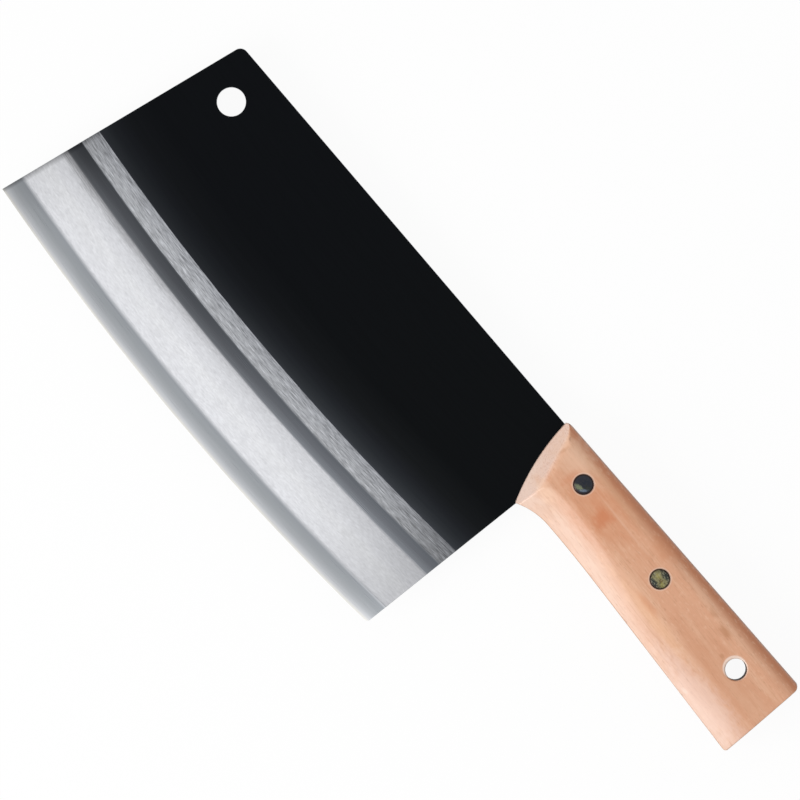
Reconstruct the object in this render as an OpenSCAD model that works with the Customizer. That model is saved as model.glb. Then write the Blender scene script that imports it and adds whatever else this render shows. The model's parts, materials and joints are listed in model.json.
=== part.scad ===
// Chinese cleaver: a tall slicing blade with a full tang between two riveted wooden scales.
// The knife lies flat. +X runs from the toe of the blade to the butt of the handle,
// +Y from the cutting edge to the spine, and +Z out of the left face. Z is 0 under the right scale.

/* [Overall] */
// Length from the toe of the edge to the butt of the handle
overall_length = 310; // [280:1:380]
// Thickness of the handle over both scales
handle_thickness = 20; // [16:0.5:26]

/* [Blade] */
// Length of the cutting edge, from toe to heel
blade_length = 195.5; // [165:0.5:210]
// Height from the lowest point of the edge to the spine
blade_height = 100.6; // [82:0.2:122]
// Thickness of the steel in the blade and the tang
steel_thickness = 2.2; // [1.8:0.05:3]
// Radius of the long curve of the cutting edge
edge_radius = 975; // [700:5:1500]
// Distance from the toe to the lowest point of the edge
edge_low = 109.3; // [80:0.1:130]
// Lean of the toe end, in degrees from square
toe_lean = 10; // [0:0.5:15]
// Lean of the heel, in degrees from square
heel_lean = 2.2; // [0:0.1:5]
// Fall of the spine towards the handle, in degrees
spine_fall = 0.3; // [0:0.1:1]
// Rounding of the corner where toe and spine meet
toe_corner = 2.4; // [1:0.1:8]
// Rounding of the corner where heel and edge meet
heel_corner = 1.4; // [0.5:0.1:4]

/* [Grind, on each side of the blade] */
// Thickness left at the cutting edge
edge_thickness = 0.24; // [0.1:0.02:0.4]
// Width of the sharpened bevel
bevel_width = 8.1; // [4:0.1:12]
// Width of the wide satin bevel above it
satin_width = 18; // [10:0.1:24]
// Width of the polished band above the satin
polish_width = 5.7; // [3:0.1:10]
// Width of the coarse brushed strip below the black coating
strip_width = 7.1; // [4:0.1:10]
// Steel ground away at the foot of the brushed strip
strip_depth = 0.08; // [0.04:0.01:0.12]
// Steel ground away at the foot of the polished band
polish_depth = 0.25; // [0.16:0.01:0.34]
// Steel ground away at the foot of the satin bevel
satin_depth = 0.6; // [0.4:0.01:0.66]

/* [Hole in the blade] */
// Radius of the hanging hole near the toe
blade_hole_r = 5; // [3:0.1:8]
// Distance of its centre from the toe end
blade_hole_in = 14.9; // [10:0.1:25]
// Distance of its centre below the spine
blade_hole_down = 15.4; // [10:0.1:25]

/* [Handle outline] */
// How far the scales reach over the blade ahead of the heel, at the spine
handle_overlap = 7.4; // [4:0.1:14]
// Step from the blade's spine up to the handle
handle_step = 1.45; // [0.5:0.05:4]
// Rise of the handle's spine side towards the butt, in degrees
back_rise = 0.3; // [0:0.1:1]
// Width at the narrowest place, just behind the heel
grip_width = 28.7; // [24:0.1:30.5]
// Width at the butt
butt_width = 34.2; // [32:0.1:41]
// Drop from the narrowest place to the front corner at the heel
notch_drop = 3.6; // [2:0.1:6]
// How far that corner reaches over the blade ahead of the heel
corner_lap = 0.3; // [0.1:0.1:1]
// Radius of the finger notch behind the heel
notch_radius = 26; // [15:0.5:40]
// Radius of the long belly that follows the notch
belly_radius = 450; // [300:5:600]
// Radius of the bowed front end
front_radius = 83.6; // [50:0.1:200]
// Rounding of the front corner at the spine
front_corner = 3; // [1:0.1:5]
// Rounding of the butt corner at the spine
butt_corner_back = 2.5; // [1:0.1:6]
// Rounding of the other butt corner
butt_corner_low = 1.3; // [0.5:0.1:4]

/* [Handle shaping] */
// Radius rounded along the spine side of each scale
back_round = 5; // [2:0.1:6.5]
// Distance of the long lower facet's ridge from the spine side, at the front
ridge_front = 17; // [15:0.1:20]
// Distance of the same ridge from the spine side, at the butt
ridge_butt = 25.5; // [17:0.1:26]
// Slope of the lower facet, in degrees
facet_slope = 25; // [10:1:30]
// Length of the front chamfer along the spine side
chamfer_length = 3.4; // [2:0.1:6]
// Lean of the front chamfer's inner ridge, in degrees from square
chamfer_lean = 20.5; // [10:0.5:30]
// Slope of the front chamfer, in degrees
chamfer_slope = 52; // [35:1:55]

/* [Rivets and hanging hole in the handle] */
// Radius of the rivet heads
head_r = 3.5; // [3:0.1:4.2]
// Thickness of the rivet heads
head_depth = 2.5; // [1.5:0.1:3.5]
// Outer radius of the rivet tube
tube_r = 2.5; // [2:0.1:2.8]
// Radius of the pin that is driven into the tube
pin_r = 1.5; // [1:0.1:1.6]
// Room left between the end of the pin or tube and the opposite head
end_room = 0.5; // [0.2:0.1:1]
// Gap all round in each close fit
fit_gap = 0.02; // [0.01:0.01:0.05]
// Distance of the front rivet from the front of the handle
front_rivet_in = 20.1; // [15:0.1:25]
// Distance of the front rivet from the spine side
front_rivet_down = 10.4; // [9:0.1:13]
// Distance of the middle rivet past the middle, between the front rivet and the hanging hole
middle_rivet_shift = 0.6; // [-3:0.1:3]
// Distance of the middle rivet from the spine side
middle_rivet_down = 12; // [9:0.1:14]
// Radius of the hanging hole near the butt
handle_hole_r = 3.75; // [3:0.05:5]
// Distance of the hanging hole from the butt
handle_hole_in = 19.2; // [14:0.1:25]
// Distance of the hanging hole from the spine side
handle_hole_down = 12.7; // [10:0.1:14]
// Countersink cut on the edges of both hanging holes
hole_break = 0.2; // [0.1:0.05:0.4]

/* [Hidden] */
// Small overshoot of a cutting shape past the face it cuts
past = 1;
// Depth by which a rounding bites into the sides it touches, so that their outlines truly cross
bite = 0.004;
// Reach of a cutting shape that has to clear the whole knife
reach = 2 * overall_length;
$fn = 96;
// Sides of the very large circles, whose segments stay short enough to look round
fine = 720;
steel_colour = [0.2, 0.21, 0.22];
wood_colour = [0.86, 0.65, 0.51];
brass_colour = [0.5, 0.46, 0.3];

// Plane geometry
function along(angle) = [cos(angle), sin(angle)];
function cross_2d(a, b) = a.x * b.y - a.y * b.x;
// Point where the line through p at angle a meets the line through q at angle b
function meet(p, a, q, b) = p + along(a) * cross_2d(q - p, along(b)) / cross_2d(along(a), along(b));
// Centre of a rounding of radius r that touches, from inside, the line through p at an angle
// and the circle of radius big_r about middle. The shape lies to the left of the line's direction.
function rounding_centre(p, angle, middle, big_r, r) =
    let (inner = p + r * along(angle + 90) - middle,
         half_b = inner * along(angle),
         c = inner * inner - pow(big_r - r, 2))
    middle + inner + along(angle) * (sign(half_b) * sqrt(half_b * half_b - c) - half_b);

// Places along the knife
toe_x = -overall_length / 2;
butt_x = overall_length / 2;
handle_length = overall_length - blade_length + handle_overlap;
front_x = butt_x - handle_length;
edge_low_x = toe_x + edge_low;

// Places across the knife, with the box over blade and handle centred on y = 0
overall_height = blade_height - tan(spine_fall) * (front_x - edge_low_x)
                 + handle_step + tan(back_rise) * handle_length;
edge_low_y = -overall_height / 2;
function spine_y(x) = edge_low_y + blade_height - tan(spine_fall) * (x - edge_low_x);
function back_y(x) = spine_y(front_x) + handle_step + tan(back_rise) * (x - front_x);

// Corners of the blade
edge_centre = [edge_low_x, edge_low_y + edge_radius];
function edge_y(x) = edge_centre.y - sqrt(pow(edge_radius, 2) - pow(x - edge_centre.x, 2));
toe = [toe_x, edge_y(toe_x)];
heel = [toe_x + blade_length, edge_y(toe_x + blade_length)];
toe_angle = 90 - toe_lean;
heel_angle = 90 - heel_lean;
spine_start = [toe_x, spine_y(toe_x)];
toe_top = meet(toe, toe_angle, spine_start, -spine_fall);
heel_top = meet(heel, heel_angle, spine_start, -spine_fall);

// Corners of the handle
front_top = [front_x, back_y(front_x)];
butt_top = [butt_x, back_y(butt_x)];
butt_low = [butt_x, butt_top.y - butt_width];
grip_y = front_top.y - grip_width;
front_low = meet(heel, heel_angle, [butt_x, grip_y - notch_drop], 0) - [corner_lap, 0];
grip_x = front_low.x + sqrt(pow(notch_radius, 2) - pow(notch_radius - notch_drop, 2));
notch_centre = [grip_x, grip_y - notch_radius];
belly_centre = [grip_x, grip_y - belly_radius];
// The straight lower side leaves the belly as a tangent that ends in the lower butt corner
butt_from_belly = butt_low - belly_centre;
tangent_angle = atan2(butt_from_belly.y, butt_from_belly.x) + acos(belly_radius / norm(butt_from_belly));
belly_end = belly_centre + belly_radius * along(tangent_angle);
low_angle = tangent_angle - 90;
// The bowed front end passes through the front top and front low corners
front_chord = front_low - front_top;
front_centre = (front_top + front_low) / 2 + [-front_chord.y, front_chord.x] / norm(front_chord)
               * sqrt(pow(front_radius, 2) - pow(norm(front_chord) / 2, 2));

// Heights above the middle plane of the steel
steel_half = steel_thickness / 2;
handle_half = handle_thickness / 2;
scale_thickness = handle_half - steel_half;

// Ridges of the two planes that are cut from each scale
chamfer_top = [front_x + chamfer_length, back_y(front_x + chamfer_length)];
ridge_start = [front_x, back_y(front_x) - ridge_front];
ridge_end = [butt_x, back_y(butt_x) - ridge_butt];
ridge_angle = atan2(ridge_end.y - ridge_start.y, ridge_end.x - ridge_start.x);

// Places of the holes
blade_hole = [toe_top.x - tan(toe_lean) * blade_hole_down + blade_hole_in,
              spine_y(toe_top.x) - blade_hole_down];
function on_handle(x, down) = [x, back_y(x) - down];
front_rivet_x = front_x + front_rivet_in;
handle_hole_x = butt_x - handle_hole_in;
front_rivet = on_handle(front_rivet_x, front_rivet_down);
middle_rivet = on_handle((front_rivet_x + handle_hole_x) / 2 + middle_rivet_shift, middle_rivet_down);
handle_hole = on_handle(handle_hole_x, handle_hole_down);

// Rounds a corner between two straight sides that leave it at angles a and b
module corner_cut(corner, a, b, r) {
    inset = r - bite;
    half_corner = abs(a - b) / 2;
    inward = along((a + b) / 2);
    centre = corner + inward * inset / sin(half_corner);
    foot = inset / tan(half_corner);
    difference() {
        polygon([centre, corner + foot * along(a), corner - past * inward, corner + foot * along(b)]);
        translate(centre) circle(r);
    }
}

// Rounds a corner between the straight side through p at an angle and a large circle
module arc_corner_cut(p, angle, middle, big_r, r) {
    inset = r - bite;
    centre = rounding_centre(p, angle, middle, big_r, inset);
    foot = centre - inset * along(angle + 90);
    touch = centre + inset * (centre - middle) / norm(centre - middle);
    outward = (foot + touch) / 2 - centre;
    difference() {
        polygon([centre, foot, centre + 2 * r * outward / norm(outward), touch]);
        translate(centre) circle(r);
    }
}

// Outline of the blade alone
module blade_outline() {
    toe_below = meet(toe, toe_angle, [toe_x, edge_low_y - past], 0);
    heel_below = meet(heel, heel_angle, [toe_x, edge_low_y - past], 0);
    difference() {
        intersection() {
            translate(edge_centre) circle(edge_radius, $fn = fine);
            polygon([toe_below, toe_top, heel_top, heel_below]);
        }
        corner_cut(toe_top, -spine_fall, toe_angle - 180, toe_corner);
        arc_corner_cut(heel, heel_angle, edge_centre, edge_radius, heel_corner);
    }
}

// Everything below the handle's lower side: finger notch, belly and straight
module under_handle() {
    floor_y = grip_y - notch_radius;
    intersection() {
        translate(belly_centre + [0, bite]) circle(belly_radius, $fn = fine);
        union() {
            translate(notch_centre + [0, 2 * bite]) circle(notch_radius, $fn = fine);
            translate([grip_x, floor_y]) square([butt_x - grip_x, notch_radius + past]);
        }
    }
    polygon([belly_end, butt_low + past * along(low_angle),
             [butt_x + past, floor_y], [belly_end.x, floor_y]]);
}

// Outline that the scales and the tang share, with the bowed end at the front only
module handle_outline() {
    difference() {
        intersection() {
            union() {
                translate(front_centre) circle(front_radius, $fn = fine);
                translate([min(front_centre.x, butt_x), front_centre.y - front_radius])
                    square([handle_length, 2 * front_radius]);
            }
            polygon([front_top - along(back_rise) * past, butt_top,
                     butt_low - [0, past], [front_x - past, butt_low.y - past]]);
        }
        under_handle();
        corner_cut(butt_top, 180 + back_rise, 270, butt_corner_back);
        corner_cut(butt_low, 90, 180 + low_angle, butt_corner_low);
        arc_corner_cut(front_top, 180 + back_rise, front_centre, front_radius, front_corner);
    }
}

// Solid of revolution about the edge's centre, whose faces are the ground bevels of the blade
module ground_faces() {
    bevel_r = edge_radius - bevel_width;
    satin_r = bevel_r - satin_width;
    polish_r = satin_r - polish_width;
    strip_r = polish_r - strip_width;
    spine_r = edge_radius - 2 * blade_height;
    left_face = [[spine_r, steel_half],
                 [strip_r, steel_half],
                 [polish_r, steel_half - strip_depth],
                 [satin_r, steel_half - polish_depth],
                 [bevel_r, steel_half - satin_depth],
                 [edge_radius, edge_thickness / 2]];
    right_face = [for (i = [len(left_face) - 1 : -1 : 0]) [left_face[i].x, -left_face[i].y]];
    translate(edge_centre) rotate_extrude($fn = fine) polygon(concat(left_face, right_face));
}

// Straight hole through a plate of the given half thickness, with both edges broken
module broken_hole(place, r, half_thickness) {
    translate(place) {
        cylinder(h = 2 * half_thickness + 2 * past, r = r, center = true);
        for (side = [0, 1]) mirror([0, 0, side])
            translate([0, 0, half_thickness - hole_break])
                cylinder(h = 2 * hole_break, r1 = r, r2 = r + 2 * hole_break);
    }
}

// Blade and full tang, one piece of steel
module blade() {
    color(steel_colour) place_mid() difference() {
        intersection() {
            ground_faces();
            linear_extrude(steel_thickness + 2 * past, center = true) {
                blade_outline();
                handle_outline();
            }
        }
        broken_hole(blade_hole, blade_hole_r, steel_half);
        translate(handle_hole) cylinder(h = steel_thickness + 2 * past, r = handle_hole_r, center = true);
        for (place = [front_rivet, middle_rivet])
            translate(place) cylinder(h = steel_thickness + 2 * past, r = tube_r + fit_gap, center = true);
    }
}

// Removes what lies above a plane. The plane leaves the scale's flat face along a ridge through
// p at an angle, and falls away at the slope on the right-hand side of that direction.
module plane_cut(p, angle, slope) {
    translate([p.x, p.y, handle_half]) rotate([0, 0, angle]) rotate([slope, 0, 0])
        translate([-reach, -reach, 0]) cube([2 * reach, reach + past, handle_thickness]);
}

// Removes the sharp corner along the spine side of a scale
module back_round_cut() {
    translate([front_top.x, front_top.y, handle_half]) rotate([0, 0, back_rise])
        translate([-past, -back_round, -back_round]) difference() {
            cube([handle_length + 2 * past, back_round + past, back_round + past]);
            rotate([0, 90, 0]) cylinder(h = handle_length + 2 * past, r = back_round);
        }
}

// One scale, on the +Z side of the tang
module scale_body() {
    difference() {
        translate([0, 0, steel_half]) linear_extrude(scale_thickness) handle_outline();
        back_round_cut();
        plane_cut(ridge_start, ridge_angle, facet_slope);
        plane_cut(chamfer_top, chamfer_lean - 90, chamfer_slope);
        broken_hole(handle_hole, handle_hole_r, handle_half);
        for (place = [front_rivet, middle_rivet]) translate(place) {
            cylinder(h = handle_thickness, r = tube_r + fit_gap);
            translate([0, 0, handle_half - head_depth])
                cylinder(h = head_depth + past, r = head_r + fit_gap);
        }
    }
}

module left_scale() {
    color(wood_colour) place_mid() scale_body();
}

module right_scale() {
    color(wood_colour) place_mid() mirror([0, 0, 1]) scale_body();
}

// Half of a rivet with a solid pin, its head flush with the left face
module rivet_male(place) {
    color(brass_colour) place_mid() translate(place) {
        translate([0, 0, handle_half - head_depth]) cylinder(h = head_depth, r = head_r);
        translate([0, 0, head_depth + end_room - handle_half])
            cylinder(h = handle_thickness - 2 * head_depth - end_room, r = pin_r);
    }
}

// Half of a rivet with a tube that takes the pin, its head flush with the right face
module rivet_female(place) {
    tube_length = handle_thickness - 2 * head_depth - end_room;
    color(brass_colour) place_mid() translate([place.x, place.y, -handle_half]) difference() {
        union() {
            cylinder(h = head_depth, r = head_r);
            cylinder(h = head_depth + tube_length, r = tube_r);
        }
        translate([0, 0, head_depth]) cylinder(h = tube_length + past, r = pin_r + fit_gap);
    }
}

module front_rivet_male() {
    rivet_male(front_rivet);
}

module front_rivet_female() {
    rivet_female(front_rivet);
}

module middle_rivet_male() {
    rivet_male(middle_rivet);
}

module middle_rivet_female() {
    rivet_female(middle_rivet);
}

// Places a piece so that the underside of the right scale is at z = 0
module place_mid() {
    translate([0, 0, handle_half]) children();
}

blade();
left_scale();
right_scale();
front_rivet_male();
front_rivet_female();
middle_rivet_male();
middle_rivet_female();
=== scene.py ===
# %% [markdown]
# # A Chinese cleaver, from construction to looks
# The knife is a tall slicing blade of thin steel. Its upper part is coated black, and its lower part
# is ground in bands towards a long, slightly curved edge. The steel runs on into the handle as a full
# tang, and two wooden scales are riveted to it. The construction model holds the sizes and places of
# the seven pieces. This script gives each of them a finished shape, with eased edges and soft ridges,
# and the finish that its real material has, with some light and shade painted into the colours.
# Everything is in metres, in the construction's own frame: +X runs to the butt of the handle, +Y to
# the spine, and +Z out of the left face.

# %% Load the construction as a fixed frame
import json
import math

import bmesh
import bpy
from mathutils import Matrix, Vector


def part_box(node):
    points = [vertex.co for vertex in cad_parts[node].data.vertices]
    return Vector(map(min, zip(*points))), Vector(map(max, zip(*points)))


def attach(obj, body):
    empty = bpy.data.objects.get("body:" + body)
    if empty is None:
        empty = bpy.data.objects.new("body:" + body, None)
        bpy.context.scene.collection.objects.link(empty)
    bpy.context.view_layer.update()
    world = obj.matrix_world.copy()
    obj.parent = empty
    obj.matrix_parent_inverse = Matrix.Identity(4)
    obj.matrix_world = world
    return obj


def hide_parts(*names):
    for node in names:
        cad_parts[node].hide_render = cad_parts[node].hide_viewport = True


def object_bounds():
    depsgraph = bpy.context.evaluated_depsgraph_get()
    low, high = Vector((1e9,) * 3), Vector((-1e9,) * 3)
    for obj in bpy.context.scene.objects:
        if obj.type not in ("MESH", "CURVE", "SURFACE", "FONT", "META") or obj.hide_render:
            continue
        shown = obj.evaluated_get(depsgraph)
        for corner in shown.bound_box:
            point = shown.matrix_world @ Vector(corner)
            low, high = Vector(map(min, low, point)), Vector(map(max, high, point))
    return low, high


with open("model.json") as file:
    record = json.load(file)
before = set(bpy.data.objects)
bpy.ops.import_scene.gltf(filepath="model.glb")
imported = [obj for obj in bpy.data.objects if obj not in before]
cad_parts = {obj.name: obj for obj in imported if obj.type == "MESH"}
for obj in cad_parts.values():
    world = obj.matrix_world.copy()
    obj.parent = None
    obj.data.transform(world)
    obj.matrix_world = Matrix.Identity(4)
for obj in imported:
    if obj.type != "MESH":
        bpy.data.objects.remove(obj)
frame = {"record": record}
cad_low, cad_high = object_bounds()
mounts = {mount["name"]: mount for mount in frame["record"]["mounts"]}
mm = 0.001
print("construction box:", [round(side / mm, 2) for side in cad_high - cad_low], "mm")

# %% [markdown]
# ## Camera
# The photograph looks straight down on the knife, which lies turned so that its handle points to the
# lower right. The sides of the holes hardly show, so the lens was long and far away. A camera placed
# 4.5 metres up keeps that flat look. Its focal length follows from the width that the picture covers.

# %% Camera
def add_object(name, data):
    """A new object in the scene that shows a camera, a lamp or a mesh."""
    made = bpy.data.objects.new(name, data)
    bpy.context.scene.collection.objects.link(made)
    return made


photo_width = 276.15 * mm
photo_turn = 49.2
photo_centre = Vector((-10.14 * mm, 11.36 * mm))
camera_height = 4.5

blade_low, blade_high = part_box("blade")
camera_data = bpy.data.cameras.new("photo_camera")
camera_data.lens = camera_data.sensor_width * (camera_height - blade_high.z) / photo_width
camera = add_object("photo_camera", camera_data)
camera.location = (photo_centre.x, photo_centre.y, camera_height)
camera.rotation_euler = (0, 0, math.radians(photo_turn))
bpy.context.scene.camera = camera
print("focal length", round(camera_data.lens), "mm")

# %% [markdown]
# ## Colours and nodes
# Colours are written the way a colour picker shows them, as sRGB hex values, and one function turns
# them into the linear values that a shader works with. One more function adds a node, sets its
# inputs and links it, so each material reads as a short list of what it is made of.

# %% Helpers for materials
def linear(colour):
    """Linear RGBA of an sRGB hex colour."""
    channels = [int(colour[i:i + 2], 16) / 255 for i in (1, 3, 5)]
    return [c / 12.92 if c <= 0.04045 else ((c + 0.055) / 1.055) ** 2.4 for c in channels] + [1]


def feed(tree, target, inputs):
    """Give each named input of a node a link, a hex colour or a value.

    Where the value is a node, the link comes from its first output in use."""
    for name, value in inputs.items():
        if isinstance(value, bpy.types.Node):
            value = next(output for output in value.outputs if output.enabled)
        if isinstance(value, bpy.types.NodeSocket):
            tree.links.new(value, target.inputs[name])
        elif isinstance(value, str):
            target.inputs[name].default_value = linear(value)
        else:
            target.inputs[name].default_value = value


def node(tree, kind, inputs=None, **settings):
    """Add a shader node of a kind, such as Math, set its properties, and feed its inputs."""
    added = tree.nodes.new("ShaderNode" + kind)
    for name, value in settings.items():
        setattr(added, name, value)
    feed(tree, added, inputs or {})
    return added


def new_material(name):
    """An empty material with its Principled shader, and the tree to add nodes to."""
    material = bpy.data.materials.new(name)
    material.use_nodes = True
    return material, material.node_tree, material.node_tree.nodes["Principled BSDF"]


# %% [markdown]
# ## Light, floor and background
# The photograph has soft light from the edge side of the knife, and a plain white background. A
# large lamp low on that side gives the soft difference between the wood's faces, and the world fills
# in the rest, together at a level where a colour renders about as it is written. The white comes
# from the world and the floor themselves: what the camera, a reflection or glass sees of them has a
# strength of 1. The floor mixes that with a real white surface, so a faint shadow stays on it.

# %% World
def sees_background(tree):
    """1 for camera, glossy and transmission rays, 0 for the rays that carry light."""
    rays = node(tree, "LightPath").outputs
    seen = node(tree, "Math", {0: rays["Is Camera Ray"], 1: rays["Is Glossy Ray"]}, operation="MAXIMUM")
    return node(tree, "Math", {0: seen, 1: rays["Is Transmission Ray"]}, operation="MAXIMUM")


fill_strength = 0.62
world = bpy.data.worlds.new("white_studio")
world.use_nodes = True
world_tree = world.node_tree
strength = node(world_tree, "MapRange", {"Value": sees_background(world_tree),
                                         "To Min": fill_strength, "To Max": 1.0})
feed(world_tree, world_tree.nodes["Background"], {"Color": "#FFFFFF", "Strength": strength})
bpy.context.scene.world = world
bpy.context.scene.view_settings.view_transform = "Standard"
print("fill light:", fill_strength)

# %% Key lamp
key_distance = 1.3
key_size = 0.9
key_elevation = math.radians(34)
key_azimuth = math.radians(-105)
key_power = 12.0
target = (cad_low + cad_high) / 2
key_direction = Vector((math.cos(key_azimuth) * math.cos(key_elevation),
                        math.sin(key_azimuth) * math.cos(key_elevation), math.sin(key_elevation)))
key_data = bpy.data.lights.new("key_softbox", "AREA")
key_data.shape = "SQUARE"
key_data.size = key_size
key_data.energy = key_power
key = add_object("key_softbox", key_data)
key.location = target + key_direction * key_distance
key.rotation_euler = key_direction.to_track_quat("Z", "Y").to_euler()
print("key lamp at", [round(c, 2) for c in key.location], "m")

# %% Floor
def mesh_object(name, bm):
    """A new object with the mesh of a bmesh, which is used up."""
    mesh = bpy.data.meshes.new(name)
    bm.to_mesh(mesh)
    bm.free()
    return add_object(name, mesh)


floor_half = 6.0
floor_white = 0.94
floor_material, floor_tree, floor_paint = new_material("white_table")
feed(floor_tree, floor_paint, {"Base Color": "#F4F4F4", "Roughness": 0.9, "Specular IOR Level": 0.0})
white = node(floor_tree, "Emission", {"Color": "#FFFFFF", "Strength": 1.0})
share = node(floor_tree, "Math", {0: sees_background(floor_tree), 1: floor_white}, operation="MULTIPLY")
mixed = node(floor_tree, "MixShader", {0: share, 1: floor_paint, 2: white})
feed(floor_tree, floor_tree.nodes["Material Output"], {"Surface": mixed})

floor_bm = bmesh.new()
bmesh.ops.create_grid(floor_bm, x_segments=1, y_segments=1, size=floor_half)
floor = mesh_object("floor", floor_bm)
floor.location = (0, 0, cad_low.z)
floor.data.materials.append(floor_material)
print("floor:", 2 * floor_half, "m wide")

# %% [markdown]
# ## Tools for shaping
# A knife is cut out of plates and bars, and so are these meshes. An outline is a chain of edges: a
# straight side is an edge, and a round stretch is one vertex spun about a centre. The closed chain is
# filled and extruded into a prism. Two solids are then united, or one trims or drills the other, with
# the exact Boolean, which is what a saw, a belt grinder and a drill do to the real pieces. Edges are
# eased last, with a bevel, because nothing on a real knife is perfectly sharp but its edge.

# %% Helpers for outlines
def heading(degrees):
    """Unit vector in the plane of the blade at an angle from +X."""
    return Vector((math.cos(math.radians(degrees)), math.sin(math.radians(degrees))))


def angle_of(vector):
    """Angle of a plane vector from +X, in degrees."""
    return math.degrees(math.atan2(vector.y, vector.x))


def slope(degrees):
    """Rise for each step along, at an angle from +X."""
    return math.tan(math.radians(degrees))


def crossing(first, first_degrees, second, second_degrees):
    """Point where a line through a first point meets a line through a second one."""
    along = heading(first_degrees)
    other = heading(second_degrees)
    return first + along * (second - first).cross(other) / along.cross(other)


def add_line(bm, points):
    """A chain of straight edges through plane points."""
    verts = [bm.verts.new((p.x, p.y, 0)) for p in points]
    for first, second in zip(verts, verts[1:]):
        bm.edges.new((first, second))


def add_arc(bm, centre, radius, start, end, step=2.0):
    """A round stretch: one vertex spun about a centre, from a start angle to an end angle."""
    at = centre + heading(start) * radius
    vertex = bm.verts.new((at.x, at.y, 0))
    bmesh.ops.spin(bm, geom=[vertex], cent=(centre.x, centre.y, 0), axis=(0, 0, 1),
                   angle=math.radians(end - start), steps=math.ceil(abs(end - start) / step))


# %% Helpers for solids
def close_up(bm):
    """Fill a flat opening where there is one, and turn all faces outward."""
    open_edges = [e for e in bm.edges if e.is_boundary]
    if open_edges:
        bmesh.ops.contextual_create(bm, geom=open_edges)
    bmesh.ops.recalc_face_normals(bm, faces=bm.faces)


def prism(bm, bottom, top):
    """Join and fill a closed chain of edges, and extrude it between two heights."""
    bmesh.ops.remove_doubles(bm, verts=bm.verts, dist=0.001 * mm)
    bmesh.ops.contextual_create(bm, geom=bm.edges[:])
    for vert in bm.verts:
        vert.co.z = bottom
    raised = bmesh.ops.extrude_face_region(bm, geom=bm.faces[:])["geom"]
    bmesh.ops.translate(bm, vec=(0, 0, top - bottom),
                        verts=[g for g in raised if isinstance(g, bmesh.types.BMVert)])
    close_up(bm)


def upright_edges(bm, place, reach=0.01 * mm):
    """Vertical edges within reach of a place in the plane."""
    return [e for e in bm.edges
            if abs(e.verts[0].co.z - e.verts[1].co.z) > 0.02 * mm
            and all((v.co.xy - place).length < reach for v in e.verts)]


def weld(bm, distance=0.01 * mm):
    """Join points that all but coincide, and drop the faces that vanish with them."""
    bmesh.ops.remove_doubles(bm, verts=bm.verts, dist=distance)
    bmesh.ops.dissolve_degenerate(bm, edges=bm.edges, dist=distance)


def ease(bm, edges, width, segments=3):
    """Round edges over by a small width."""
    bmesh.ops.bevel(bm, geom=edges, offset=width, offset_type="OFFSET", segments=segments,
                    profile=0.5, affect="EDGES", material=-1, clamp_overlap=False,
                    miter_outer="ARC", spread=width / 4)
    weld(bm)


# %% [markdown]
# ## Lines of the blade
# The edge is a very long arc. The toe end leans back, the heel is nearly square, and the spine falls a
# little towards the handle. All the grinding bands run parallel to the edge, so they are arcs about
# the same centre. The box of the construction's blade places the edge, the toe and the butt.

# %% Lines of the blade
edge_radius = 975 * mm
edge_low_from_toe = 109.3 * mm
blade_length = 195.5 * mm
blade_height = 100.6 * mm
toe_degrees = 80
heel_degrees = 87.8
spine_degrees = -0.3
toe_corner = 2.4 * mm
heel_corner = 1.4 * mm

# The inset keeps the lowest point of the edge inside the construction's box
toe_x = blade_low.x
butt_x = blade_high.x
edge_inset = 0.003 * mm
edge_centre = Vector((toe_x + edge_low_from_toe, blade_low.y + edge_inset + edge_radius))


def edge_point(x):
    """Point of the cutting edge at a distance along the knife."""
    drop = math.sqrt(edge_radius ** 2 - (x - edge_centre.x) ** 2)
    return Vector((x, edge_centre.y - drop))


def spine_point(x):
    """Point of the blade's spine at a distance along the knife."""
    return Vector((x, blade_low.y + blade_height + slope(spine_degrees) * (x - edge_centre.x)))


toe = edge_point(toe_x)
heel = edge_point(toe_x + blade_length)
toe_top = crossing(toe, toe_degrees, spine_point(toe_x), spine_degrees)
heel_top = crossing(heel, heel_degrees, spine_point(toe_x), spine_degrees)
print("edge from", [round(c / mm, 2) for c in toe], "to", [round(c / mm, 2) for c in heel], "mm")

# %% [markdown]
# ## Outline of the handle
# The scales and the tang share one outline. From the front corner at the heel it swings up in a finger
# notch, runs out along a long belly and ends in a straight to the butt. The front end is bowed. Only
# the driving sizes are written here, and the centres of the arcs follow from them.

# %% Outline of the handle
handle_overlap = 7.4 * mm
handle_step = 1.435 * mm
back_degrees = 0.3
grip_width = 28.7 * mm
butt_width = 34.2 * mm
notch_drop = 3.6 * mm
corner_lap = 0.3 * mm
notch_radius = 26 * mm
belly_radius = 450 * mm
front_radius = 83.6 * mm
front_corner = 3 * mm
butt_corner_back = 2.5 * mm
butt_corner_low = 1.3 * mm

front_x = toe_x + blade_length - handle_overlap


def back_point(x, down=0):
    """Point of the handle's spine side, or a distance below it."""
    return Vector((x, spine_point(front_x).y + handle_step + slope(back_degrees) * (x - front_x) - down))


front_top = back_point(front_x)
butt_top = back_point(butt_x)
butt_low = back_point(butt_x, butt_width)
grip_y = front_top.y - grip_width
front_low = crossing(heel, heel_degrees, Vector((butt_x, grip_y - notch_drop)), 0)
front_low.x -= corner_lap
notch_height = notch_radius - notch_drop
grip_x = front_low.x + math.sqrt(notch_radius ** 2 - notch_height ** 2)
notch_centre = Vector((grip_x, grip_y - notch_radius))
belly_centre = Vector((grip_x, grip_y - belly_radius))
to_butt = butt_low - belly_centre
belly_degrees = angle_of(to_butt) + math.degrees(math.acos(belly_radius / to_butt.length))
front_chord = front_low - front_top
chord_to_centre = math.sqrt(front_radius ** 2 - (front_chord.length / 2) ** 2)
front_centre = ((front_top + front_low) / 2
                + Vector((-front_chord.y, front_chord.x)).normalized() * chord_to_centre)


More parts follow.
